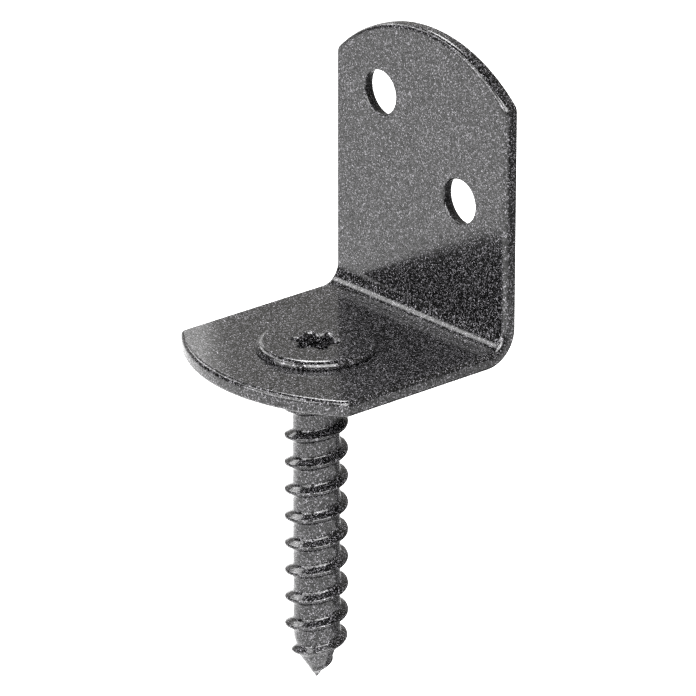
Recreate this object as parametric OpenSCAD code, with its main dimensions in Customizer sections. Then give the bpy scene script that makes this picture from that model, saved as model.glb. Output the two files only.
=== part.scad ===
// Fence bracket: a folded steel angle with a captive wood screw.
// The angle's foot lies on a post, and its upright takes a fence panel's frame.
// Origin: on the screw's axis, in the foot's underside.
// +X runs along the fold, +Y from the screw towards the upright's back, +Z up.
// All lengths are in millimetres, and all angles in degrees.

/* [Angle bracket] */
// Width of the strip, along the fold
strip_w = 30; // [26:0.5:34]
// Thickness of the sheet
sheet_t = 2; // [1.6:0.1:2.4]
// Height of the upright's rounded top above the foot's underside
upright_h = 37.8; // [36:0.1:42]
// How far the middle of the upright's top stands above its corners
upright_rise = 6.2; // [5:0.1:7]
// Length of the foot from the upright's back to its rounded front
foot_l = 31.8; // [30:0.1:36]
// How far the middle of the foot's front stands out past its corners
foot_rise = 5.6; // [5:0.1:7]
// Distance from the upright's back to the screw's axis
back_y = 18.1; // [17:0.1:19]
// Radius of the fold on its inner side
fold_r = 2.3; // [1.5:0.1:3]
// Rounding of the strip's edges
edge_r = 0.6; // [0.3:0.1:0.7]

/* [Panel holes] */
// Diameter of the two screw holes in the upright
hole_d = 5.4; // [4.5:0.1:6]
// Distance between the two holes along the fold
hole_dx = 14; // [12:0.1:15]
// Height of the lower hole above the foot's underside
hole_low_z = 18.3; // [16:0.1:20]
// Depth of the upper hole below the upright's rounded top
hole_top_dz = 9.7; // [9:0.1:11]
// Rounding of every hole's rims
rim_r = 0.6; // [0.2:0.1:0.7]

/* [Wood screw] */
// Diameter of the screw's hole in the foot
bore_d = 7.2; // [7:0.1:7.4]
// Gap between the screw's neck and its hole, on the radius
neck_gap = 0.08; // [0.04:0.01:0.1]
// Diameter of the flat head
head_d = 14.2; // [12:0.1:16]
// Height of the head
head_h = 1; // [0.8:0.1:1.4]
// Width of the head's rounded rim, seen from above
head_rim_w = 0.9; // [0.5:0.1:1.2]
// Height of the head's rounded rim
head_rim_h = 0.65; // [0.4:0.05:0.7]
// Chamfer under the head's rim
head_chamfer = 0.15; // [0.05:0.05:0.2]
// Length of the plain neck below the foot
neck_l = 1.5; // [1.3:0.1:2]
// Length from the foot's underside to the tip
screw_l = 40.5; // [39:0.1:41]
// Outer diameter of the thread
thread_d = 7.58; // [7.5:0.02:8]
// Diameter of the core under the thread
core_d = 5.6; // [5.2:0.1:5.8]
// Distance between two turns of the right-hand thread
pitch = 3.48; // [3.3:0.02:3.6]
// Width of the thread's root
ridge_w = 1.4; // [1.2:0.1:1.8]
// Width of the thread's crest
crest_w = 0.3; // [0.2:0.05:0.4]
// Angle from +X at which the thread would cross the foot's underside
thread_a = 73; // [0:1:359]
// Length over which the thread rises below the neck
thread_rise_l = 1.8; // [1:0.1:3]
// Length over which the thread fades out towards the tip
thread_fade_l = 6.6; // [5:0.1:8]
// Bare length of the tip below the thread
tip_bare_l = 0.6; // [0.4:0.1:1]
// Length of the tip's blunt cone
tip_l = 3; // [2.5:0.1:3.5]
// Diameter of that cone at its top
tip_d = 4; // [3.6:0.1:4.4]
// Length of the whole taper from the tip to the full core
taper_l = 5.8; // [5:0.1:7]

/* [Drive recess] */
// Width of the six-lobed recess over its points
drive_d = 5.8; // [5.4:0.1:6]
// Width of the recess over its waists
drive_waist_d = 4.1; // [3.9:0.1:4.3]
// Radius of the round flank between two lobes
drive_flank_r = 1.23; // [1.1:0.01:1.3]
// Depth of the recess below the head's top
drive_depth = 2.8; // [2:0.1:3]
// Angle of the first lobe from +X
drive_a = 38; // [0:1:59]

/* [Hidden] */
$fn = 96;

coat_colour = [0.30, 0.30, 0.31];
fold_outer_r = fold_r + sheet_t;
hole_high_z = upright_h - hole_top_dz;
// Radius of an end arc across the strip that stands a given rise above its corners
function end_radius(rise) = (pow(strip_w / 2, 2) + rise * rise) / (2 * rise);
// Extra length by which cutters and covered ends run past a face
over = 1;

head_r = head_d / 2;
neck_r = bore_d / 2 - neck_gap;
core_r = core_d / 2;
crest_r = thread_d / 2;
drive_lobes = 6;

// Steps per turn of the thread, and of the head's rim
turn_steps = 36;
rim_steps = 6;
// The thread's lattice starts inside the neck, one turn and a small cover above its end
neck_cover = 0.1;
lattice_top = pitch - neck_l + neck_cover;
// It ends this far above the tip
tip_margin = 0.15;
last_step = floor((lattice_top + screw_l - tip_margin - pitch) / pitch * turn_steps);
// Angle at which the lattice starts, so that the crest meets thread_a at height 0
start_a = thread_a + 360 * (lattice_top - pitch / 2) / pitch;
// Distance of each profile point below its row, from one mid-root to the next
drops = [
    0,
    (pitch - ridge_w) / 2,
    (pitch - crest_w) / 2,
    (pitch + crest_w) / 2,
    (pitch + ridge_w) / 2,
];
per_row = len(drops);

// Core radius at a height: blunt cone, slow taper, straight core
function core_at(z) = lookup(z + screw_l, [
    [0, 0],
    [tip_l, tip_d / 2],
    [taper_l, core_r],
]);

// A larger power keeps the fading thread tall for longer, so that it ends more steeply
fade_power = 2.5;

// Share of the thread's full height that it has at a height
function rise_at(z) = lookup(-z - neck_l - neck_cover, [[0, 0], [thread_rise_l, 1]]);
function fade_at(z) =
    let (x = lookup(z + screw_l - tip_bare_l, [[0, 0], [thread_fade_l, 1]]))
    1 - pow(1 - x, fade_power);

// Height of the thread's crest above the core at a height
function ridge_at(z) = (crest_r - core_r) * min(rise_at(z), fade_at(z));

// Strip's cross-section with its thickness along X and its width along Y
module strip_section() {
    translate([edge_r, -strip_w / 2])
        square([sheet_t - 2 * edge_r, strip_w]);
    translate([0, edge_r - strip_w / 2])
        square([sheet_t, strip_w - 2 * edge_r]);
    for (x = [edge_r, sheet_t - edge_r], side = [-1, 1])
        translate([x, side * (strip_w / 2 - edge_r)])
            circle(edge_r);
}

// Straight length of strip along +Z, its face in the plane X = 0
module strip(length) {
    linear_extrude(length)
        strip_section();
}

// Round plate with rounded rims around +Z, from Z = 0 up
module round_plate(r) {
    rotate_extrude() {
        square([r - edge_r, sheet_t]);
        translate([0, edge_r])
            square([r, sheet_t - 2 * edge_r]);
        for (z = [edge_r, sheet_t - edge_r])
            translate([r - edge_r, z])
                circle(edge_r);
    }
}

// Cutter for a hole through a sheet from Z = 0 to sheet_t, flared at both rims
module rimmed_hole(r) {
    translate([0, 0, -over])
        cylinder(r = r, h = sheet_t + 2 * over);
    for (z = [0, 1])
        translate([0, 0, z * sheet_t])
            mirror([0, 0, z])
                rotate_extrude()
                    difference() {
                        translate([0, -over])
                            square([r + rim_r, rim_r + over]);
                        translate([r + rim_r, rim_r])
                            circle(rim_r);
                        translate([r + rim_r, -2 * over])
                            square(4 * over);
                    }
}

// Flat foot, with the rounded front and the screw's hole
module foot() {
    r = end_radius(foot_rise);
    front_y = back_y - foot_l;
    difference() {
        intersection() {
            translate([0, back_y - fold_outer_r, 0])
                rotate([90, -90, 0])
                    strip(foot_l);
            translate([0, front_y + r, 0])
                round_plate(r);
        }
        rimmed_hole(bore_d / 2);
    }
}

// Flat upright, with the rounded top and the two panel holes
module upright() {
    r = end_radius(upright_rise);
    difference() {
        intersection() {
            translate([0, back_y - sheet_t, fold_outer_r])
                rotate([0, 0, 90])
                    strip(upright_h);
            translate([0, back_y, upright_h - r])
                rotate([90, 0, 0])
                    round_plate(r);
        }
        for (place = [[hole_dx / 2, hole_low_z], [-hole_dx / 2, hole_high_z]])
            translate([place.x, back_y, place.y])
                rotate([90, 0, 0])
                    rimmed_hole(hole_d / 2);
    }
}

// Quarter-turn fold between foot and upright
module fold() {
    translate([0, back_y - fold_outer_r, fold_outer_r])
        rotate([0, 90, 0])
            rotate_extrude(angle = 90)
                translate([fold_r, 0])
                    strip_section();
}

module angle_bracket() {
    color(coat_colour) {
        foot();
        fold();
        upright();
    }
}

// Half section of head and neck, with the axis at X = 0
module head_section() {
    rim_z = head_h - head_rim_h;
    translate([0, sheet_t])
        polygon(concat(
            [[0, 0], [head_r - head_chamfer, 0], [head_r, head_chamfer]],
            [for (i = [0:rim_steps])
                let (a = 90 * i / rim_steps)
                [head_r - head_rim_w * (1 - cos(a)), rim_z + head_rim_h * sin(a)]],
            [[0, head_h]]
        ));
    translate([0, -neck_l])
        square([neck_r, neck_l + sheet_t + head_h / 2]);
}

// Six-lobed drive recess, open upwards from the head's top
module drive_recess() {
    translate([0, 0, sheet_t + head_h - drive_depth])
        rotate(drive_a)
            linear_extrude(drive_depth + over)
                difference() {
                    circle(drive_d / 2);
                    for (i = [0:drive_lobes - 1])
                        rotate((i + 0.5) * 360 / drive_lobes)
                            translate([drive_waist_d / 2 + drive_flank_r, 0])
                                circle(drive_flank_r);
                }
}

// Point j of row k of the thread's lattice, which winds down a right-hand helix
function lattice_point(k, j) =
    let (
        drop = j == per_row ? pitch : drops[j],
        z = lattice_top - pitch * k / turn_steps - drop,
        on_crest = j == 2 || j == 3,
        r = core_at(z) + (on_crest ? ridge_at(z) : 0),
        a = start_a - 360 * k / turn_steps
    )
    [r * cos(a), r * sin(a), z];

// Number of that point: the end of a row is the start of the row one turn below
function lattice_index(k, j) =
    j < per_row ? k * per_row + j
    : k + turn_steps <= last_step ? (k + turn_steps) * per_row
    : (last_step + 1) * per_row + k - (last_step - turn_steps + 1);

// Threaded shank: the lattice's bands, closed at the tip and inside the neck
module threaded_shank() {
    points = concat(
        [for (k = [0:last_step], j = [0:per_row - 1]) lattice_point(k, j)],
        [for (k = [last_step - turn_steps + 1:last_step]) lattice_point(k, per_row)],
        [[0, 0, -screw_l], [0, 0, lattice_top]]
    );
    tip = len(points) - 2;
    top = len(points) - 1;
    bands = [
        for (k = [0:last_step - 1], j = [0:per_row - 1], half = [0, 1])
            half == 0
            ? [lattice_index(k, j), lattice_index(k, j + 1), lattice_index(k + 1, j)]
            : [lattice_index(k + 1, j), lattice_index(k, j + 1), lattice_index(k + 1, j + 1)]
    ];
    // The last turn's lower edge closes on the tip, and its first point closes the last row
    last_turn = [
        for (k = [last_step - turn_steps + 1:last_step]) lattice_index(k, per_row)
    ];
    tip_fan = [
        for (i = [0:turn_steps - 1])
            [last_turn[(i + 1) % turn_steps], last_turn[i], tip]
    ];
    last_row = [
        for (j = [0:per_row - 1])
            [lattice_index(last_step, j), lattice_index(last_step, j + 1), last_turn[0]]
    ];
    top_loop = concat(
        [for (k = [0:turn_steps]) lattice_index(k, 0)],
        [for (j = [per_row - 1:-1:1]) lattice_index(0, j)]
    );
    top_fan = [
        for (i = [0:len(top_loop) - 1])
            [top_loop[i], top_loop[(i + 1) % len(top_loop)], top]
    ];
    polyhedron(points = points, faces = concat(bands, tip_fan, last_row, top_fan));
}

module wood_screw() {
    color(coat_colour)
        difference() {
            union() {
                rotate_extrude()
                    head_section();
                threaded_shank();
            }
            drive_recess();
        }
}

angle_bracket();
wood_screw();
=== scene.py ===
"""Looks of a fence bracket: a folded, coated steel angle and the wood screw held in its foot.

Everything is in metres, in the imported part's own frame: the origin is on the screw's axis in the
foot's underside, +X runs along the fold, +Y towards the upright's back and +Z up.
"""

import logging
import math
from dataclasses import dataclass
from enum import Enum
from typing import Any, Iterable, Mapping, Union

import bmesh
import bpy
from bmesh.types import BMEdge, BMesh, BMVert
from mathutils import Matrix, Vector


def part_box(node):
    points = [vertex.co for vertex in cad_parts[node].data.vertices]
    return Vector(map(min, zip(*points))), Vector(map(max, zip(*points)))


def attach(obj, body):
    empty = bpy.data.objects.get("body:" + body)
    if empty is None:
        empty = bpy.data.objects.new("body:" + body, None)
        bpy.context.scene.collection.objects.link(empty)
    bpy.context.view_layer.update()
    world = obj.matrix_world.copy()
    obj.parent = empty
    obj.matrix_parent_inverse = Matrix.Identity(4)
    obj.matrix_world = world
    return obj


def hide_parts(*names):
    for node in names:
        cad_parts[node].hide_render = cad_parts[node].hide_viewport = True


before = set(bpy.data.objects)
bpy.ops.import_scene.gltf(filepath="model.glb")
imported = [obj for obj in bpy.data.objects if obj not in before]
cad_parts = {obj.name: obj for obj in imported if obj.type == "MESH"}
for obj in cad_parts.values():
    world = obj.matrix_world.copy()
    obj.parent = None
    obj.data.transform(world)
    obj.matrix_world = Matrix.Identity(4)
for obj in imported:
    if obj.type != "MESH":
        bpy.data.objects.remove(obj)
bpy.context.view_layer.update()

MM = 0.001
ORIGIN = Vector((0.0, 0.0, 0.0))
Z_AXIS = Vector((0.0, 0.0, 1.0))
MERGE_GAP = 0.002 * MM
FULL_WEIGHT = 100
BLACK = (0.0, 0.0, 0.0, 1.0)
WHITE = (1.0, 1.0, 1.0, 1.0)
MIDDLE_COLOUR = (0.5, 0.5, 0.5)

# Place across and along the flat blank, and radius
Hole = tuple[float, float, float]

log = logging.getLogger("fence_bracket")


class Body(Enum):
    """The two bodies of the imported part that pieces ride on."""

    BRACKET = "bracket"
    SCREW = "screw"


class Leaf(Enum):
    """The two flat leaves of the angle, by their direction along the unfolded strip."""

    FOOT = -1
    UPRIGHT = 1


class CardPose(Enum):
    """How a dark card is set up on the floor."""

    STANDING = "standing"
    LYING = "lying"


class FlakeDraw(Enum):
    """What each of a flake's random numbers decides."""

    BRIGHTNESS = 0
    TILT = 1
    SKIN = 2


# Shader graph

Operand = Union["Value", bpy.types.NodeSocket, float]


class Value:
    """A shader value on which Python arithmetic adds Math nodes."""

    def __init__(self, graph: "ShaderGraph", socket: bpy.types.NodeSocket) -> None:
        """Wraps one output socket of a graph."""
        self.graph = graph
        self.socket = socket

    def __add__(self, other: Operand) -> "Value":
        """Sum of two values."""
        return self.graph.math("ADD", self, other)

    def __radd__(self, other: Operand) -> "Value":
        """Sum, with the plain number on the left."""
        return self.graph.math("ADD", other, self)

    def __sub__(self, other: Operand) -> "Value":
        """Difference of two values."""
        return self.graph.math("SUBTRACT", self, other)

    def __rsub__(self, other: Operand) -> "Value":
        """Difference, with the plain number on the left."""
        return self.graph.math("SUBTRACT", other, self)

    def __mul__(self, other: Operand) -> "Value":
        """Product of two values."""
        return self.graph.math("MULTIPLY", self, other)

    def __rmul__(self, other: Operand) -> "Value":
        """Product, with the plain number on the left."""
        return self.graph.math("MULTIPLY", other, self)

    def __pow__(self, other: Operand) -> "Value":
        """First value raised to the second."""
        return self.graph.math("POWER", self, other)

    def __abs__(self) -> "Value":
        """Value without its sign."""
        return self.graph.math("ABSOLUTE", self)

    def __lt__(self, other: Operand) -> "Value":
        """1 where the first value is the smaller one, else 0."""
        return self.graph.math("LESS_THAN", self, other)


class ShaderGraph:
    """The node tree of one material or of the world, emptied and filled by calls."""

    def __init__(self, owner: Union[bpy.types.Material, bpy.types.World]) -> None:
        """Turns the owner's nodes on and clears them.

        Args:
            owner: the material or world.
        """
        owner.use_nodes = True
        self.tree = owner.node_tree
        self.tree.nodes.clear()

    def node(
        self,
        kind: str,
        settings: Mapping[str, Any] | None = None,
        inputs: Mapping[Union[str, int], Any] | None = None,
    ) -> bpy.types.Node:
        """Adds one node.

        Args:
            kind: Blender's type name of the node.
            settings: attributes of the node, set before its sockets.
            inputs: a number, colour, socket or Value for each named or numbered input.

        Returns:
            The new node.
        """
        made = self.tree.nodes.new(kind)
        for name, setting in (settings or {}).items():
            setattr(made, name, setting)
        for name, given in (inputs or {}).items():
            source = given.socket if isinstance(given, Value) else given
            if isinstance(source, bpy.types.NodeSocket):
                self.tree.links.new(source, made.inputs[name])
            else:
                made.inputs[name].default_value = source
        return made

    def math(self, operation: str, *inputs: Operand) -> Value:
        """Adds one Math node and returns its result."""
        made = self.node("ShaderNodeMath", {"operation": operation}, dict(enumerate(inputs)))
        return Value(self, made.outputs[0])

    def vector(self, operation: str, *inputs: Any) -> bpy.types.NodeSocket:
        """Adds one Vector Math node and returns its vector."""
        made = self.node("ShaderNodeVectorMath", {"operation": operation}, dict(enumerate(inputs)))
        return made.outputs["Vector"]

    def scaled(self, vector: bpy.types.NodeSocket, factor: Operand) -> bpy.types.NodeSocket:
        """Multiplies a vector by a value.

        Args:
            vector: the vector.
            factor: the value.

        Returns:
            The scaled vector.
        """
        inputs = {"Vector": vector, "Scale": factor}
        made = self.node("ShaderNodeVectorMath", {"operation": "SCALE"}, inputs)
        return made.outputs["Vector"]

    def along(self, vector: bpy.types.NodeSocket, direction: Vector) -> Value:
        """Measures how far a vector reaches along a direction.

        Args:
            vector: the vector.
            direction: the direction, of length 1.

        Returns:
            The vector's reach.
        """
        inputs = {0: vector, 1: direction}
        made = self.node("ShaderNodeVectorMath", {"operation": "DOT_PRODUCT"}, inputs)
        return Value(self, made.outputs["Value"])

    def smooth_step(self, value: Operand, none: float, full: float) -> Value:
        """Turns a value into a share that changes smoothly between two limits.

        Args:
            value: the value.
            none: the limit past which the share is 0.
            full: the limit past which the share is 1.

        Returns:
            The share.
        """
        inputs = {"Value": value, "From Min": none, "From Max": full}
        made = self.node("ShaderNodeMapRange", {"interpolation_type": "SMOOTHSTEP"}, inputs)
        return Value(self, made.outputs["Result"])


# Finishes


@dataclass(frozen=True)
class ShadedHoleWall:
    """The wall of a hole through the upright, where painted shade dims the flakes and the glossy skin
    in place of the shade inside the hole.
    """

    x: float
    middle_y: float
    z: float
    reach: float = 3.8 * MM
    darkest_depth: float = 0.75 * MM
    unshaded_depth: float = 0.95 * MM
    shade_strength: float = 0.70

    def unshaded_share(self, graph: ShaderGraph, place: bpy.types.NodeSocket) -> Value:
        """Adds the share of flake brightness and skin gloss that the painted shade leaves, 1 away from
        the wall.

        Args:
            graph: the graph that gets the nodes.
            place: Object coordinates.

        Returns:
            The share at a point of the surface.
        """
        arm = graph.vector("SUBTRACT", place, (self.x, self.middle_y, self.z))
        parts = graph.node("ShaderNodeSeparateXYZ", inputs={"Vector": arm})
        across, depth, height = (Value(graph, parts.outputs[axis]) for axis in "XYZ")
        # Painted shade: near the hole's axis and inside the sheet, the flakes and the skin are dimmed.
        near = across * across + height * height < self.reach**2
        inside = graph.smooth_step(abs(depth), self.unshaded_depth, self.darkest_depth)
        return 1.0 - self.shade_strength * near * inside


@dataclass(frozen=True)
class FlakeCoat:
    """A dark metallic coat with fine bright flakes under a clear, glossy skin."""

    name: str
    dark: tuple[float, float, float] = (0.001, 0.001, 0.001)
    light: tuple[float, float, float] = (0.196, 0.191, 0.205)
    metal: float = 0.35
    bright_power: float = 8.0
    flake_size: float = 0.115 * MM
    flake_tilt: float = 0.8
    tilt_power: float = 1.5
    roughness: float = 0.35
    skin_ior: float = 1.55
    skin_roughness: float = 0.14
    skin_loss: float = 0.65
    peel_size: float = 2.2 * MM
    peel_height: float = 0.004 * MM

    def material(self, walls: Iterable[ShadedHoleWall] = ()) -> bpy.types.Material:
        """Builds the coat.

        Args:
            walls: the hole walls that get painted shade.

        Returns:
            A material whose flakes and waviness follow Object coordinates.
        """
        made = bpy.data.materials.new(self.name)
        graph = ShaderGraph(made)
        place = graph.node("ShaderNodeTexCoord").outputs["Object"]
        cells = graph.node(
            "ShaderNodeTexVoronoi", inputs={"Vector": place, "Scale": 1 / self.flake_size}
        )
        # left is what the painted shade on the hole walls leaves of the flakes' brightness and the
        # skin's gloss.
        left: Operand = 1.0
        for wall in walls:
            left = left * wall.unshaded_share(graph, place)
        bright = self._chance(graph, cells, FlakeDraw.BRIGHTNESS) ** self.bright_power * left
        colour = graph.node(
            "ShaderNodeMix", {"data_type": "RGBA"},
            {"Factor": bright, "A": (*self.dark, 1.0), "B": (*self.light, 1.0)},
        )
        skin = 1.0 - self.skin_loss * self._chance(graph, cells, FlakeDraw.SKIN)
        shader = graph.node(
            "ShaderNodeBsdfPrincipled",
            inputs={
                "Base Color": colour.outputs["Result"],
                "Metallic": self.metal,
                "Roughness": self.roughness,
                "Specular IOR Level": 0.0,
                "Coat Weight": skin * left,
                "Coat Roughness": self.skin_roughness,
                "Coat IOR": self.skin_ior,
                "Normal": self._flake_normal(graph, place, cells),
            },
        )
        graph.node("ShaderNodeOutputMaterial", inputs={"Surface": shader.outputs["BSDF"]})
        return made

    @staticmethod
    def _chance(graph: ShaderGraph, cells: bpy.types.Node, draw: FlakeDraw) -> Value:
        """Adds one random number per flake, unlike that of any other draw.

        Args:
            graph: the graph that gets the nodes.
            cells: the node whose cells are the flakes.
            draw: what the number decides.

        Returns:
            The number, from 0 to 1.
        """
        noise = graph.node(
            "ShaderNodeTexWhiteNoise", {"noise_dimensions": "4D"},
            {"Vector": cells.outputs["Position"], "W": float(draw.value)},
        )
        return Value(graph, noise.outputs["Value"])

    def _flake_normal(
        self, graph: ShaderGraph, place: bpy.types.NodeSocket, cells: bpy.types.Node
    ) -> bpy.types.NodeSocket:
        """Tips the surface's normal by a random amount in each flake, over a faint waviness.

        Args:
            graph: the graph that gets the nodes.
            place: Object coordinates.
            cells: the node whose cells are the flakes.

        Returns:
            The normal for the shader.
        """
        waves = graph.node(
            "ShaderNodeTexNoise", inputs={"Vector": place, "Scale": 1 / self.peel_size}
        )
        wavy = graph.node(
            "ShaderNodeBump",
            inputs={"Distance": self.peel_height, "Height": waves.outputs["Fac"]},
        )
        lean = self.flake_tilt * self._chance(graph, cells, FlakeDraw.TILT) ** self.tilt_power
        sideways = graph.vector("SUBTRACT", cells.outputs["Color"], MIDDLE_COLOUR)
        tipped = graph.vector("ADD", wavy.outputs["Normal"], graph.scaled(sideways, lean))
        return graph.vector("NORMALIZE", tipped)


@dataclass(frozen=True)
class FloorPaint:
    """A plain pale floor with a painted glow, like a light table, that weakens towards one side in
    place of uneven studio light.
    """

    name: str = "pale_floor"
    colour: tuple[float, float, float] = (0.45, 0.45, 0.45)
    roughness: float = 0.9
    glow: float = 1.11
    glow_start: float = -330 * MM
    glow_full: float = -80 * MM

    def material(self, bright_side: Vector) -> bpy.types.Material:
        """Builds the floor's finish and its painted glow.

        Args:
            bright_side: direction along the floor in which its glow grows.

        Returns:
            A material whose glow follows Object coordinates.
        """
        made = bpy.data.materials.new(self.name)
        graph = ShaderGraph(made)
        place = graph.node("ShaderNodeTexCoord").outputs["Object"]
        share = graph.smooth_step(graph.along(place, bright_side), self.glow_start, self.glow_full)
        glow = graph.node(
            "ShaderNodeMix", {"data_type": "RGBA"}, {"Factor": share, "A": BLACK, "B": WHITE}
        )
        shader = graph.node(
            "ShaderNodeBsdfPrincipled",
            inputs={
                "Base Color": (*self.colour, 1.0),
                "Roughness": self.roughness,
                "Specular IOR Level": 0.0,
                "Emission Color": glow.outputs["Result"],
                "Emission Strength": self.glow,
            },
        )
        graph.node("ShaderNodeOutputMaterial", inputs={"Surface": shader.outputs["BSDF"]})
        return made


# Mesh helpers


def polar(point: Vector) -> tuple[float, float]:
    """Radius and angle of a point around the screw's axis."""
    return math.hypot(point.x, point.y), math.atan2(point.y, point.x)


def on_axis_turn(radius: float, angle: float, z: float) -> Vector:
    """Point at a radius and an angle around the screw's axis."""
    return Vector((radius * math.cos(angle), radius * math.sin(angle), z))


def wire(bm: BMesh, points: Iterable[Vector]) -> list[BMVert]:
    """Adds an open chain of edges.

    Args:
        bm: the mesh that gets the chain.
        points: the chain's corners, in order.

    Returns:
        The chain's vertices.
    """
    verts = [bm.verts.new(point) for point in points]
    for start, end in zip(verts, verts[1:]):
        bm.edges.new((start, end))
    return verts


def round_corner(bm: BMesh, corner: BMVert, offset: float, segments: int) -> None:
    """Rounds one corner of a chain of edges.

    Args:
        bm: the mesh that holds the chain.
        corner: the chain's vertex at the corner.
        offset: how far from the corner the rounding starts.
        segments: number of its straight parts.
    """
    bmesh.ops.bevel(
        bm, geom=[corner], affect="VERTICES", offset=offset, offset_type="OFFSET",
        segments=segments, profile=0.5, material=-1,
    )


def link_piece(bm: BMesh, name: str) -> bpy.types.Object:
    """Turns a finished mesh into an object at the origin, smooth over its roundings.

    Args:
        bm: the mesh, which is freed.
        name: the object's name.

    Returns:
        The linked object.
    """
    for face in bm.faces:
        face.smooth = True
    mesh = bpy.data.meshes.new(name)
    bm.to_mesh(mesh)
    bm.free()
    made = bpy.data.objects.new(name, mesh)
    bpy.context.scene.collection.objects.link(made)
    return made


def keep_flats_flat(piece: bpy.types.Object) -> None:
    """Weights a piece's normals by face area, so that its flats stay flat up to their roundings.

    Args:
        piece: the finished piece.
    """
    weighted = piece.modifiers.new("flat_faces", "WEIGHTED_NORMAL")
    weighted.mode = "FACE_AREA"
    weighted.weight = FULL_WEIGHT
    weighted.keep_sharp = False


def seat_piece(piece: bpy.types.Object, body: Body, node: str) -> None:
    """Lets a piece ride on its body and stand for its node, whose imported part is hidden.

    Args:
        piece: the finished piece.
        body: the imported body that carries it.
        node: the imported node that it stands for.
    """
    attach(piece, body.value)
    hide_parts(node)
    log.info("%s stands for %s, %d faces", piece.name, node, len(piece.data.polygons))


# Folded angle


@dataclass
class FoldedAngle:
    """The steel strip: cut and punched flat, its edges rounded, then folded to an angle."""

    width: float
    height: float
    front_y: float
    back_y: float
    sheet: float = 2.0 * MM
    fold_radius: float = 2.3 * MM
    edge_radius: float = 0.6 * MM
    top_rise: float = 6.2 * MM
    front_rise: float = 5.6 * MM
    bore: float = 7.2 * MM
    hole: float = 5.4 * MM
    front_rim: float = 0.20 * MM
    back_rim: float = 0.7 * MM
    breakout: float = 0.5 * MM
    hole_spread: float = 14.0 * MM
    low_hole_z: float = 18.3 * MM
    high_hole_depth: float = 9.7 * MM
    arc_steps: int = 56
    hole_steps: int = 72
    fold_steps: int = 24
    edge_steps: int = 8
    border: float = 0.75 * MM
    border_slack: float = 1.1
    rim_slack: float = 0.02
    sharp_angle: float = math.radians(80)
    corner_cut: float = 0.5 * MM
    corner_steps: int = 4

    @property
    def fold_length(self) -> float:
        """Length of the fold along the strip's inner face."""
        return self.fold_radius * math.pi / 2

    @property
    def fold_y(self) -> float:
        """Where the flat foot ends and the fold starts."""
        return self.back_y - self.sheet - self.fold_radius

    @property
    def fold_z(self) -> float:
        """Height of the fold's axis, where the flat upright starts."""
        return self.sheet + self.fold_radius

    @property
    def hole_places(self) -> list[tuple[float, float]]:
        """X and height of the upright's two holes."""
        half = self.hole_spread / 2
        return [(half, self.low_hole_z), (-half, self.height - self.high_hole_depth)]

    def build(self) -> bpy.types.Object:
        """Makes the angle in the order in which a press makes it.

        Returns:
            The finished piece, at the origin.
        """
        bm = bmesh.new()
        bores = [(0.0, -self.fold_y, self.bore / 2)]
        start_z = self.fold_length - self.fold_z
        panel_holes = [(x, start_z + z, self.hole / 2) for x, z in self.hole_places]
        foot = self.fold_y - self.front_y
        upright = self.height - self.fold_z
        foot_end = self._cut_leaf(bm, Leaf.FOOT, foot, self.front_rise, bores)
        upright_end = self._cut_leaf(bm, Leaf.UPRIGHT, upright, self.top_rise, panel_holes)
        self._join_leaves(bm, foot_end, upright_end)
        bmesh.ops.inset_region(
            bm, faces=bm.faces[:], thickness=self.border, use_boundary=True, use_even_offset=True
        )
        self._thicken(bm)
        self._round_edges(bm, bores + panel_holes)
        self._break_out(bm, panel_holes)
        for vert in bm.verts:
            vert.co = self._folded(vert.co)
        bmesh.ops.recalc_face_normals(bm, faces=bm.faces[:])
        piece = link_piece(bm, "coated_angle")
        keep_flats_flat(piece)
        return piece

    def dress(self, piece: bpy.types.Object, coat: FlakeCoat) -> None:
        """Coats the angle, with painted shade on the walls of its panel holes, and seats it on its
        body.

        Args:
            piece: the finished angle.
            coat: its finish.
        """
        middle_y = self.back_y - self.sheet / 2
        walls = [ShadedHoleWall(x, middle_y, z) for x, z in self.hole_places]
        piece.data.materials.append(coat.material(walls))
        seat_piece(piece, Body.BRACKET, "angle_bracket")

    def _cut_leaf(
        self, bm: BMesh, leaf: Leaf, reach: float, rise: float, holes: list[Hole]
    ) -> BMEdge:
        """Cuts one flat leaf with its round end and its holes out of the unfolded strip.

        Args:
            bm: the blank's mesh, with Y along the strip from the fold's start.
            leaf: which of the two leaves.
            reach: length of the leaf from its fold line to the middle of its round end.
            rise: how far that middle stands out past the leaf's corners.
            holes: place and radius of each hole.

        Returns:
            The edge on the fold line.
        """
        side = leaf.value
        half = self.width / 2
        base = self.fold_length if leaf is Leaf.UPRIGHT else 0.0
        radius = (half**2 + rise**2) / (2 * rise)
        sweep = 2 * math.asin(half / radius)
        corner = bm.verts.new((half, base + side * (reach - rise), 0.0))
        arc = bmesh.ops.spin(
            bm, geom=[corner], cent=(0.0, base + side * (reach - radius), 0.0), axis=Z_AXIS,
            angle=side * sweep, steps=self.arc_steps,
        )
        far_corner = next(item for item in arc["geom_last"] if isinstance(item, BMVert))
        near = bm.verts.new((half, base, 0.0))
        far = bm.verts.new((-half, base, 0.0))
        fold_line = bm.edges.new((near, far))
        bm.edges.new((corner, near))
        bm.edges.new((far, far_corner))
        for vert in (corner, far_corner):
            round_corner(bm, vert, self.corner_cut, self.corner_steps)
        for x, y, hole_radius in holes:
            centre = Matrix.Translation((x, y, 0.0))
            bmesh.ops.create_circle(bm, radius=hole_radius, segments=self.hole_steps, matrix=centre)
        outline = [edge for edge in bm.edges if not edge.link_faces]
        bmesh.ops.triangle_fill(bm, use_beauty=True, edges=outline, normal=Z_AXIS)
        return fold_line

    def _join_leaves(self, bm: BMesh, foot_end: BMEdge, upright_end: BMEdge) -> None:
        """Bridges the two fold lines and divides the bridge into the fold's steps."""
        bridge = bmesh.ops.bridge_loops(bm, edges=[foot_end, upright_end])
        bmesh.ops.subdivide_edges(bm, edges=bridge["edges"], cuts=self.fold_steps - 1)

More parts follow.
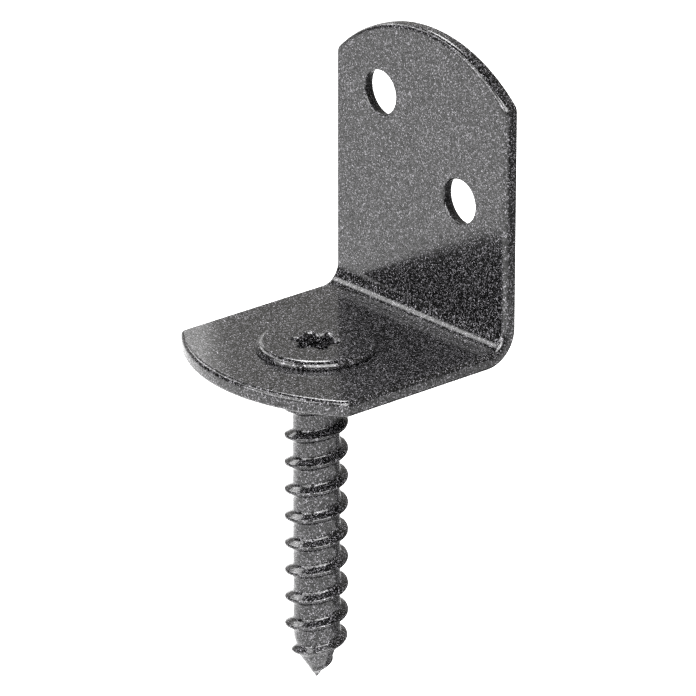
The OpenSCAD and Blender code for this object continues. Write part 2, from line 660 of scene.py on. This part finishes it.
    def _thicken(self, bm: BMesh) -> None:
        """Extrudes the flat blank to the sheet's thickness, away from its inner face.

        Args:
            bm: the flat blank.
        """
        lower = bmesh.ops.extrude_face_region(bm, geom=bm.faces[:])["geom"]
        verts = [item for item in lower if isinstance(item, BMVert)]
        bmesh.ops.translate(bm, verts=verts, vec=-self.sheet * Z_AXIS)
        bmesh.ops.recalc_face_normals(bm, faces=bm.faces[:])

    def _round_edges(self, bm: BMesh, holes: list[Hole]) -> None:
        """Rounds the blank's outline evenly, and each hole's rims little in front and more at the back.

        Args:
            bm: the thickened blank.
            holes: place and radius of each hole.
        """
        sharp = [edge for edge in bm.edges if edge.calc_face_angle() > self.sharp_angle]
        rims = [edge for edge in sharp if self._on_rim(edge, holes)]
        front = [edge for edge in rims if edge.verts[0].co.z > -self.sheet / 2]
        behind = [edge for edge in rims if edge not in front]
        outline = [edge for edge in sharp if edge not in rims]
        roundings = [
            (outline, self.edge_radius), (front, self.front_rim), (behind, self.back_rim),
        ]
        for edges, radius in roundings:
            bmesh.ops.bevel(
                bm, geom=edges, affect="EDGES", offset=radius, offset_type="OFFSET",
                segments=self.edge_steps, profile=0.5, material=-1,
            )

    def _break_out(self, bm: BMesh, holes: list[Hole]) -> None:
        """Widens the punched holes from their front rims towards the back.

        Args:
            bm: the blank with its edges rounded.
            holes: place and radius of each hole.
        """
        for vert in bm.verts:
            depth = max(-vert.co.z - self.front_rim, 0.0) / (self.sheet - self.front_rim)
            for x, y, radius in holes:
                arm = Vector((vert.co.x - x, vert.co.y - y, 0.0))
                if arm.length < radius + self.border_slack * self.border:
                    vert.co += depth * self.breakout * arm.normalized()

    def _on_rim(self, edge: BMEdge, holes: list[Hole]) -> bool:
        """Whether an edge of the flat blank lies on the rim of one of the holes.

        Args:
            edge: the edge.
            holes: place and radius of each hole.

        Returns:
            True on a rim.
        """
        middle = (edge.verts[0].co + edge.verts[1].co) / 2
        for x, y, radius in holes:
            off_rim = abs(math.hypot(middle.x - x, middle.y - y) - radius)
            if off_rim < self.rim_slack * radius:
                return True
        return False

    def _folded(self, point: Vector) -> Vector:
        """Where a point of the flat blank comes to lie on the folded angle.

        Args:
            point: X across the strip, Y along it from the fold's start, Z out of its inner face.

        Returns:
            The point in the part's frame.
        """
        turn = min(max(point.y / self.fold_radius, 0.0), math.pi / 2)
        past = point.y - turn * self.fold_radius
        reach = self.fold_radius - point.z
        along = Vector((0.0, math.cos(turn), math.sin(turn)))
        out = Vector((0.0, math.sin(turn), -math.cos(turn)))
        axis = Vector((point.x, self.fold_y, self.fold_z))
        return axis + reach * out + past * along


# Wood screw


@dataclass
class WoodScrew:
    """The captive screw: turned head and neck, six-lobed recess, wound thread and tapered tip."""

    head: float
    head_top: float
    tip_z: float
    sheet: float = 2.0 * MM
    rim_width: float = 0.9 * MM
    rim_height: float = 0.80 * MM
    rim_chamfer: float = 0.10 * MM
    neck: float = 7.04 * MM
    neck_end: float = -1.5 * MM
    neck_round: float = 0.3 * MM
    thread: float = 7.58 * MM
    core: float = 5.6 * MM
    pitch: float = 3.48 * MM
    ridge: float = 1.4 * MM
    crest: float = 0.3 * MM
    root_round: float = 0.28 * MM
    root_steps: int = 4
    crest_round: float = 0.12 * MM
    crest_steps: int = 3
    thread_angle: float = math.radians(73)
    rise_start: float = -1.6 * MM
    rise_length: float = 1.8 * MM
    fade_length: float = 6.6 * MM
    fade_power: float = 2.5
    bare_tip: float = 0.6 * MM
    cone_length: float = 3.0 * MM
    cone_top: float = 4.0 * MM
    taper_length: float = 5.8 * MM
    tip_close: float = 0.1 * MM
    drive: float = 6.2 * MM
    drive_waist: float = 4.6 * MM
    drive_flank: float = 1.1 * MM
    drive_depth: float = 4.2 * MM
    drive_angle: float = math.radians(38)
    drive_blend: float = 0.4 * MM
    drive_mouth: float = 0.36 * MM
    drive_lead: float = 1.0 * MM
    drive_lobes: int = 6
    turn_steps: int = 144
    round_steps: int = 10

    @property
    def thread_top(self) -> float:
        """Height at which the winding starts, one pitch above the neck's end."""
        return self.neck_end + self.pitch

    @property
    def start_angle(self) -> float:
        """Angle around the axis at which the thread and the head start."""
        return self.thread_angle + math.tau * (self.thread_top - self.pitch / 2) / self.pitch

    @property
    def ridge_height(self) -> float:
        """How far the thread's crest stands out from the core."""
        return (self.thread - self.core) / 2

    @property
    def recess_floor(self) -> float:
        """Height of the recess's floor."""
        return self.head_top - self.drive_depth

    def build(self) -> bpy.types.Object:
        """Winds the thread, turns the head on to it and forms the recess.

        Returns:
            The finished piece, at the origin.
        """
        bm = bmesh.new()
        self._wind_thread(bm)
        self._taper_thread(bm)
        self._turn_head(bm)
        bmesh.ops.remove_doubles(bm, verts=bm.verts[:], dist=MERGE_GAP)
        bmesh.ops.recalc_face_normals(bm, faces=bm.faces[:])
        self._form_recess(bm)
        piece = link_piece(bm, "coated_screw")
        keep_flats_flat(piece)
        return piece

    def dress(self, piece: bpy.types.Object, coat: FlakeCoat) -> None:
        """Coats the screw and seats it on its body."""
        piece.data.materials.append(coat.material())
        seat_piece(piece, Body.SCREW, "wood_screw")

    def _wind_thread(self, bm: BMesh) -> None:
        """Winds one pitch of the thread's profile down the screw, so that its turns meet.

        Args:
            bm: the screw's empty mesh.
        """
        top = self.thread_top
        turns = math.ceil((top - self.tip_z) / self.pitch)
        core, crest = self.core / 2, self.thread / 2
        half_ridge, half_crest = self.ridge / 2, self.crest / 2
        mid = top - self.pitch / 2
        corners = [
            (core, top), (core, mid + half_ridge), (crest, mid + half_crest),
            (crest, mid - half_crest), (core, mid - half_ridge), (core, top - self.pitch),
        ]
        verts = wire(bm, [on_axis_turn(radius, self.start_angle, z) for radius, z in corners])
        for vert in (verts[1], verts[4]):
            round_corner(bm, vert, self.root_round, self.root_steps)
        for vert in (verts[2], verts[3]):
            round_corner(bm, vert, self.crest_round, self.crest_steps)
        bmesh.ops.spin(
            bm, geom=bm.verts[:] + bm.edges[:], cent=ORIGIN, axis=Z_AXIS,
            dvec=-self.pitch / self.turn_steps * Z_AXIS, angle=-math.tau, steps=self.turn_steps,
        )
        first_turn = bm.verts[:] + bm.edges[:] + bm.faces[:]
        for turn in range(1, turns):
            copy = bmesh.ops.duplicate(bm, geom=first_turn)["geom"]
            verts = [item for item in copy if isinstance(item, BMVert)]
            bmesh.ops.translate(bm, verts=verts, vec=-self.pitch * turn * Z_AXIS)
        bmesh.ops.remove_doubles(bm, verts=bm.verts[:], dist=MERGE_GAP)

    def _taper_thread(self, bm: BMesh) -> None:
        """Draws the even thread in at the neck and towards the tip, and closes the tip.

        Args:
            bm: the wound thread.
        """
        for vert in bm.verts:
            radius, angle = polar(vert.co)
            share = (radius - self.core / 2) / self.ridge_height
            z = min(vert.co.z, self.neck_end)
            if z < self.tip_z + self.tip_close:
                vert.co = Vector((0.0, 0.0, self.tip_z))
            else:
                vert.co = on_axis_turn(self._core_at(z) + share * self._ridge_at(z), angle, z)
        bmesh.ops.remove_doubles(bm, verts=bm.verts[:], dist=MERGE_GAP)

    def _core_at(self, z: float) -> float:
        """Radius of the core: blunt cone, slow taper, straight core.

        Args:
            z: height in the part's frame.

        Returns:
            The radius at that height.
        """
        above = z - self.tip_z
        cone_r, core_r = self.cone_top / 2, self.core / 2
        if above < self.cone_length:
            return cone_r * above / self.cone_length
        share = min((above - self.cone_length) / (self.taper_length - self.cone_length), 1.0)
        return cone_r + (core_r - cone_r) * share

    def _ridge_at(self, z: float) -> float:
        """How far the thread's crest stands out, less at the neck and towards the tip.

        Args:
            z: height in the part's frame.

        Returns:
            The crest's distance from the core at that height.
        """
        rise = min(max((self.rise_start - z) / self.rise_length, 0.0), 1.0)
        along = min(max((z - self.tip_z - self.bare_tip) / self.fade_length, 0.0), 1.0)
        fade = 1.0 - (1.0 - along) ** self.fade_power
        return self.ridge_height * min(rise, fade)

    def _turn_head(self, bm: BMesh) -> None:
        """Spins the half section of recess, head and neck, from the axis to the neck's end.

        Args:
            bm: the tapered thread.
        """
        head_r, neck_r = self.head / 2, self.neck / 2
        wall_r = self.drive / 2 - self.drive_mouth
        mouth = self._rounding(wall_r, self.drive_mouth, self.drive_lead)
        rim = self._rounding(head_r, -self.rim_width, self.rim_height)
        section = [
            (0.0, self.recess_floor), (wall_r, self.recess_floor),
            *mouth,
            *reversed(rim),
            (head_r, self.sheet + self.rim_chamfer), (head_r - self.rim_chamfer, self.sheet),
            (neck_r, self.sheet), (neck_r, self.neck_end + self.neck_round),
            (neck_r - self.neck_round, self.neck_end), (self.core / 2, self.neck_end),
        ]
        verts = wire(bm, [on_axis_turn(radius, self.start_angle, z) for radius, z in section])
        edges = [edge for vert in verts for edge in vert.link_edges if edge.is_wire]
        bmesh.ops.spin(
            bm, geom=verts + list(dict.fromkeys(edges)), cent=ORIGIN, axis=Z_AXIS, angle=math.tau,
            steps=self.turn_steps, use_merge=True,
        )

    def _rounding(self, radius: float, width: float, height: float) -> list[tuple[float, float]]:
        """Quarter ellipse that leads from an upright wall into the head's top.

        Args:
            radius: radius of the wall.
            width: how far the rounding reaches outwards, or inwards where it is negative.
            height: how far down the wall it starts.

        Returns:
            Radius and height of its points, from the wall to the top.
        """
        turns = [math.pi / 2 * step / self.round_steps for step in range(self.round_steps + 1)]
        return [
            (radius + width * (1 - math.cos(turn)), self.head_top - height * (1 - math.sin(turn)))
            for turn in turns
        ]

    def _form_recess(self, bm: BMesh) -> None:
        """Draws the round recess in to its six lobes.

        Args:
            bm: the screw's closed mesh.
        """
        lowest = self.recess_floor - MERGE_GAP
        widest = self.drive / 2 + MERGE_GAP
        for vert in bm.verts:
            radius, angle = polar(vert.co)
            if vert.co.z > lowest and MERGE_GAP < radius < widest:
                shift = self._lobe_radius(angle) - self.drive / 2
                vert.co = on_axis_turn(radius + shift, angle, vert.co.z)

    def _lobe_radius(self, angle: float) -> float:
        """Radius of the recess's mouth: round lobes between hollow flanks.

        Args:
            angle: angle around the screw's axis.

        Returns:
            The radius at that angle.
        """
        spacing = math.tau / self.drive_lobes
        off_waist = (angle - self.drive_angle) % spacing - spacing / 2
        centre = self.drive_waist / 2 + self.drive_flank
        aside = abs(centre * math.sin(off_waist))
        inside = math.sqrt(max(self.drive_flank**2 - aside**2, 0.0))
        beyond = max(aside - self.drive_flank, 0.0)
        flank = centre * math.cos(off_waist) - inside + self.drive_lobes * beyond
        lobe = self.drive / 2
        overlap = max(1.0 - abs(lobe - flank) / self.drive_blend, 0.0)
        return min(lobe, flank) - self.drive_blend / 4 * overlap**2


# Studio


def bearing_direction(camera_azimuth: float, bearing: float, elevation: float) -> Vector:
    """Direction from the object towards a thing around it.

    Args:
        camera_azimuth: the camera's angle around the object, in radians.
        bearing: angle from the camera to its left, in degrees.
        elevation: angle above the horizontal, in degrees.

    Returns:
        The direction, of length 1.
    """
    around = camera_azimuth - math.radians(bearing)
    rise = math.radians(elevation)
    flat = Vector((math.sin(around), -math.cos(around), 0.0))
    return math.cos(rise) * flat + math.sin(rise) * Z_AXIS


@dataclass(frozen=True)
class Softbox:
    """An even, rectangular light that faces the object, by its bearing and elevation in degrees."""

    name: str
    bearing: float
    elevation: float
    distance: float
    width: float
    height: float
    brightness: float
    mirrored: bool = True

    def build(self, camera_azimuth: float) -> None:
        """Adds the light, hidden from the camera itself and from reflections where it isn't mirrored.

        Args:
            camera_azimuth: the camera's angle around the object, in radians.
        """
        place = self.distance * bearing_direction(camera_azimuth, self.bearing, self.elevation)
        lamp = bpy.data.lights.new(self.name, "AREA")
        lamp.shape = "RECTANGLE"
        lamp.size = self.width
        lamp.size_y = self.height
        lamp.energy = self.brightness * math.pi * self.width * self.height
        made = bpy.data.objects.new(self.name, lamp)
        made.location = place
        made.rotation_mode = "QUATERNION"
        made.rotation_quaternion = (-place).to_track_quat("-Z", "Y")
        made.visible_camera = False
        made.visible_glossy = self.mirrored
        bpy.context.scene.collection.objects.link(made)


@dataclass(frozen=True)
class DarkCard:
    """A dark card that only shows in reflections, by its bearing in degrees."""

    name: str
    pose: CardPose
    bearing: float
    distance: float
    width: float
    height: float
    shade: float
    lift: float = 2.0 * MM

    def build(self, camera_azimuth: float, floor_z: float) -> None:
        """Adds the card, on end or flat on the floor.

        Args:
            camera_azimuth: the camera's angle around the object, in radians.
            floor_z: height of the floor.
        """
        away = bearing_direction(camera_azimuth, self.bearing, 0.0)
        across = self.width / 2 * Z_AXIS.cross(away)
        low = self.distance * away + (floor_z + self.lift) * Z_AXIS
        rise = self.height * Z_AXIS
        if self.pose is CardPose.LYING:
            rise = self.height * away
            low = low - rise / 2
        bm = bmesh.new()
        edge = wire(bm, [low - across, low + across])
        bmesh.ops.extrude_edge_only(bm, edges=edge[0].link_edges[:])
        bmesh.ops.translate(bm, verts=[vert for vert in bm.verts if vert not in edge], vec=rise)
        card = link_piece(bm, self.name)
        paint = bpy.data.materials.new(self.name)
        graph = ShaderGraph(paint)
        colour = (self.shade, self.shade, self.shade, 1.0)
        shader = graph.node("ShaderNodeBsdfDiffuse", inputs={"Color": colour})
        graph.node("ShaderNodeOutputMaterial", inputs={"Surface": shader.outputs["BSDF"]})
        card.data.materials.append(paint)
        card.visible_camera = False
        card.visible_diffuse = False
        card.visible_shadow = False


@dataclass(frozen=True)
class SkyFlag:
    """A round dark patch of the sky, by its bearing, elevation and two radii in degrees."""

    bearing: float
    elevation: float
    core: float
    edge: float

    def shade(
        self, graph: ShaderGraph, direction: bpy.types.NodeSocket, camera_azimuth: float
    ) -> Value:
        """Adds the patch's share of the sky.

        Args:
            graph: the sky's graph.
            direction: direction in which the sky is seen.
            camera_azimuth: the camera's angle around the object, in radians.

        Returns:
            The share, 1 in the patch's core and 0 past its edge.
        """
        middle = bearing_direction(camera_azimuth, self.bearing, self.elevation)
        none, full = (math.cos(math.radians(radius)) for radius in (self.edge, self.core))
        return graph.smooth_step(graph.along(direction, middle), none, full)


@dataclass
class Studio:
    """Pale floor, soft lights, dark cards and the photograph's camera."""

    azimuth: float = math.radians(48.853)
    elevation: float = math.radians(22.148)
    distance: float = 675.668 * MM
    aside: float = 3.745 * MM
    above: float = 1.868 * MM
    lens: float = 298.28
    sensor: float = 36.0
    near_clip: float = 10.0 * MM
    floor_z: float = -100.0 * MM
    floor_side: float = 6.0
    floor_cells: int = 8
    floor_bright_bearing: float = 90.0
    sky_colour: tuple[float, float, float] = (1.0, 0.98, 0.92)
    sky_light: float = 0.46
    sky_dark: float = 0.06
    flags: tuple[SkyFlag, ...] = (
        SkyFlag(97.0, 12.0, 15.0, 40.0),
        SkyFlag(150.0, 80.0, 36.0, 45.0),
    )
    boxes: tuple[Softbox, ...] = (
        Softbox("rear_box", 178.0, 54.0, 0.70, 0.18, 0.32, 19.3),
        Softbox("rear_card", 162.8, 21.2, 0.107, 0.030, 0.034, 1.9),
        Softbox("front_box", -10.0, 40.0, 0.50, 0.50, 0.40, 13.0),
        Softbox("left_front_box", 58.0, 20.0, 0.50, 0.42, 0.26, 8.6),
        Softbox("left_box", 118.5, 41.5, 0.60, 0.17, 0.13, 6.9),
        Softbox("left_rear_box", 133.0, 32.0, 0.60, 0.16, 0.13, 6.9),
        Softbox("far_left_box", 147.0, 25.0, 0.60, 0.12, 0.10, 5.4),
        Softbox("left_strip", 80.0, 50.0, 0.60, 0.40, 0.12, 8.6),
        Softbox("back_fill", -155.0, 20.0, 0.80, 0.60, 0.60, 8.0, mirrored=False),
    )
    cards: tuple[DarkCard, ...] = (
        DarkCard("right_card", CardPose.STANDING, -86.0, 290.0 * MM, 460.0 * MM, 160.0 * MM, 0.13),
        DarkCard("rear_sheet", CardPose.LYING, -132.0, 260.0 * MM, 180.0 * MM, 440.0 * MM, 0.10),
    )

    def build(self) -> None:
        """Adds the floor, the cards, the lights, the sky and the camera."""
        self._lay_floor()
        for card in self.cards:
            card.build(self.azimuth, self.floor_z)
        self._light()
        self._place_camera()
        bpy.context.scene.view_settings.view_transform = "Standard"
        bpy.context.scene.cycles.use_denoising = False

    def _lay_floor(self) -> None:
        """Lays the floor below the screw's tip."""
        bm = bmesh.new()
        bmesh.ops.create_grid(
            bm, x_segments=self.floor_cells, y_segments=self.floor_cells, size=self.floor_side / 2,
            matrix=Matrix.Translation((0.0, 0.0, self.floor_z)),
        )
        floor = link_piece(bm, "floor")
        bright_side = bearing_direction(self.azimuth, self.floor_bright_bearing, 0.0)
        floor.data.materials.append(FloorPaint().material(bright_side))

    def _light(self) -> None:
        """Adds the softboxes and a soft sky that is dark overhead and low on the left."""
        for box in self.boxes:
            box.build(self.azimuth)
        world = bpy.data.worlds.new("studio_sky")
        bpy.context.scene.world = world
        graph = ShaderGraph(world)
        direction = graph.node("ShaderNodeTexCoord").outputs["Generated"]
        light: Operand = self.sky_light - self.sky_dark
        for flag in self.flags:
            light = light * (1.0 - flag.shade(graph, direction, self.azimuth))
        sky = graph.node(
            "ShaderNodeBackground",
            inputs={"Color": (*self.sky_colour, 1.0), "Strength": self.sky_dark + light},
        )
        graph.node("ShaderNodeOutputWorld", inputs={"Surface": sky.outputs["Background"]})

    def _place_camera(self) -> None:
        """Sets up the camera at the photograph's viewing angle."""
        flat = Vector((math.sin(self.azimuth), -math.cos(self.azimuth), 0.0))
        back = math.cos(self.elevation) * flat + math.sin(self.elevation) * Z_AXIS
        right = Z_AXIS.cross(back).normalized()
        up = back.cross(right)
        lens = bpy.data.cameras.new("camera")
        lens.sensor_width = self.sensor
        lens.lens = self.lens
        lens.clip_start = self.near_clip
        camera = bpy.data.objects.new("camera", lens)
        camera.location = self.distance * back + self.aside * right + self.above * up
        camera.rotation_mode = "QUATERNION"
        camera.rotation_quaternion = Matrix((right, up, back)).transposed().to_quaternion()
        bpy.context.scene.collection.objects.link(camera)
        bpy.context.scene.camera = camera


def main() -> None:
    """Builds the angle, the screw and the studio."""
    logging.basicConfig(level=logging.INFO, format="%(name)s: %(message)s")
    low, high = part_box("angle_bracket")
    angle = FoldedAngle(width=high.x - low.x, height=high.z, front_y=low.y, back_y=high.y)
    angle.dress(angle.build(), FlakeCoat("bracket_flake_coat"))
    low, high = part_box("wood_screw")
    screw = WoodScrew(head=high.x - low.x, head_top=high.z, tip_z=low.z)
    screw.dress(screw.build(), FlakeCoat("screw_flake_coat"))
    Studio().build()


if __name__ == "__main__":
    main()
